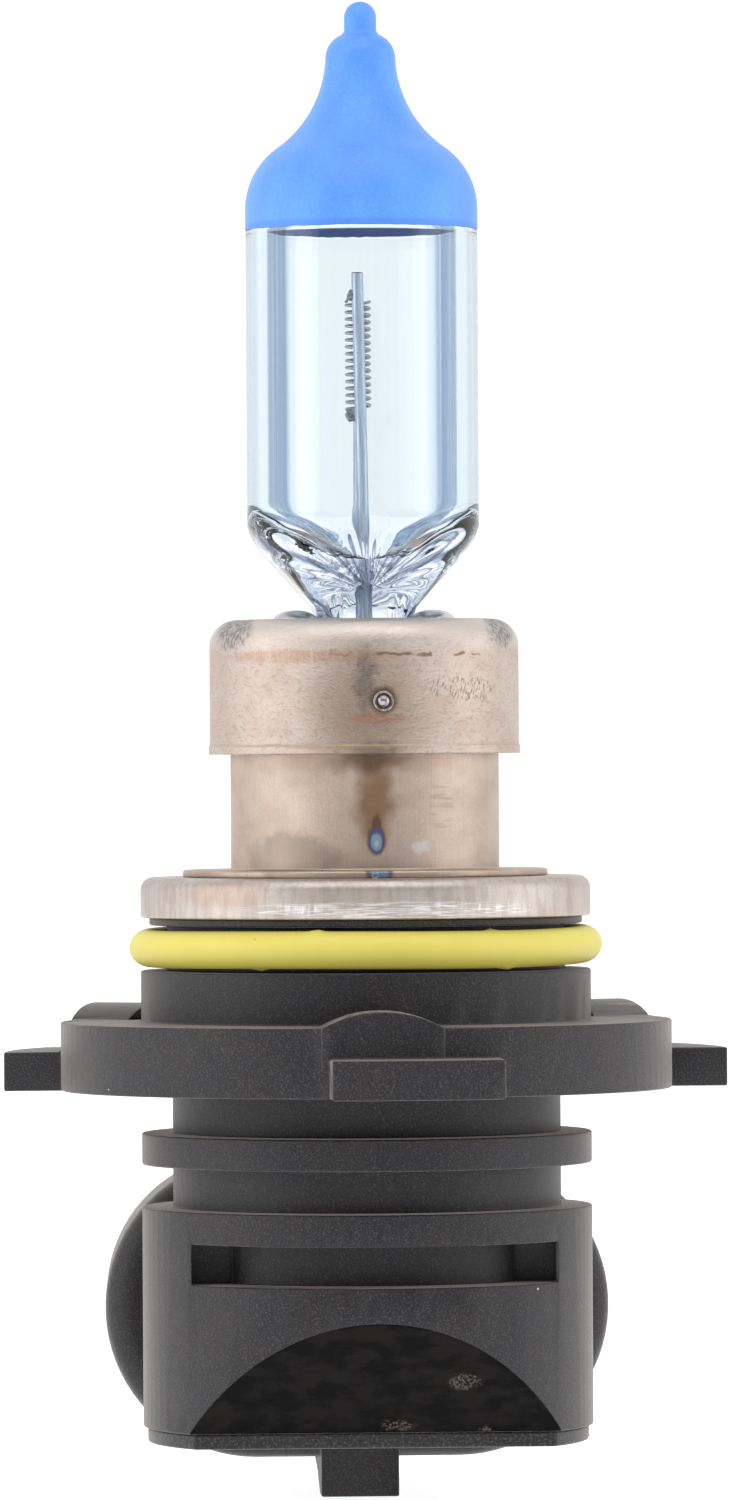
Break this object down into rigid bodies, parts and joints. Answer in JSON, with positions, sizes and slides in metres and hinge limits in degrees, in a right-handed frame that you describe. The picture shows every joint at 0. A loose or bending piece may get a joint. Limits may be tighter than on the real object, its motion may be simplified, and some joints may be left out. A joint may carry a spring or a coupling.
{
  "type": "headlight bulb",
  "caption": "Right-angle halogen headlight bulb: blue-tipped quartz tube with an axial filament, steel cups, O-ring and a keyed plastic base with a side plug socket.",
  "frame": {"origin": "on the bulb's axis, at the upper face of the base's flange, which faces the lamp holder", "axes": "+Z along the bulb's axis towards the glass tip, +Y out of the plug socket's mouth, +X to the right when the plain side of the base is seen from -Y"},
  "size_m": [0.0354, 0.0407, 0.0737],
  "materials": {
    "quartz_glass": "clear, faintly blue, fire polished",
    "blue_coat": "satin blue lacquer fused on the glass tip",
    "tungsten": "drawn wire, slightly crystalline",
    "support_wire": "smooth drawn wire",
    "foil": "thin rolled foil",
    "cup_steel": "drawn stainless sheet, warm annealing tint, fine scratches",
    "clamp_steel": "spring strip",
    "weld_steel": "fused weld metal",
    "seal_rubber": "smooth yellow silicone",
    "potting": "cast sealing compound",
    "base_plastic": "fine spark-eroded grain, glass-filled moulding",
    "cover_plastic": "fine grain, welded on",
    "blade_metal": "tinned brass strip"
  },
  "bodies": {
    "root": {"glass_envelope": "quartz_glass", "tip_coating": "blue_coat", "filament": "tungsten", "upper_filament_clip": "support_wire", "lower_filament_clip": "support_wire", "long_support_wire": "support_wire", "short_support_wire": "support_wire", "front_foil": "foil", "rear_foil": "foil", "front_lead_pin": "support_wire", "rear_lead_pin": "support_wire", "pinch_clamp": "clamp_steel", "focus_can": "cup_steel", "can_welds": "weld_steel", "mounting_sleeve": "cup_steel", "sleeve_welds": "weld_steel", "base_ring": "cup_steel", "o_ring": "seal_rubber", "lead_seal": "potting", "plastic_base": "base_plastic", "left_terminal": "blade_metal", "right_terminal": "blade_metal", "terminal_welds": "weld_steel", "bottom_cover": "cover_plastic"}
  },
  "joints": []
}
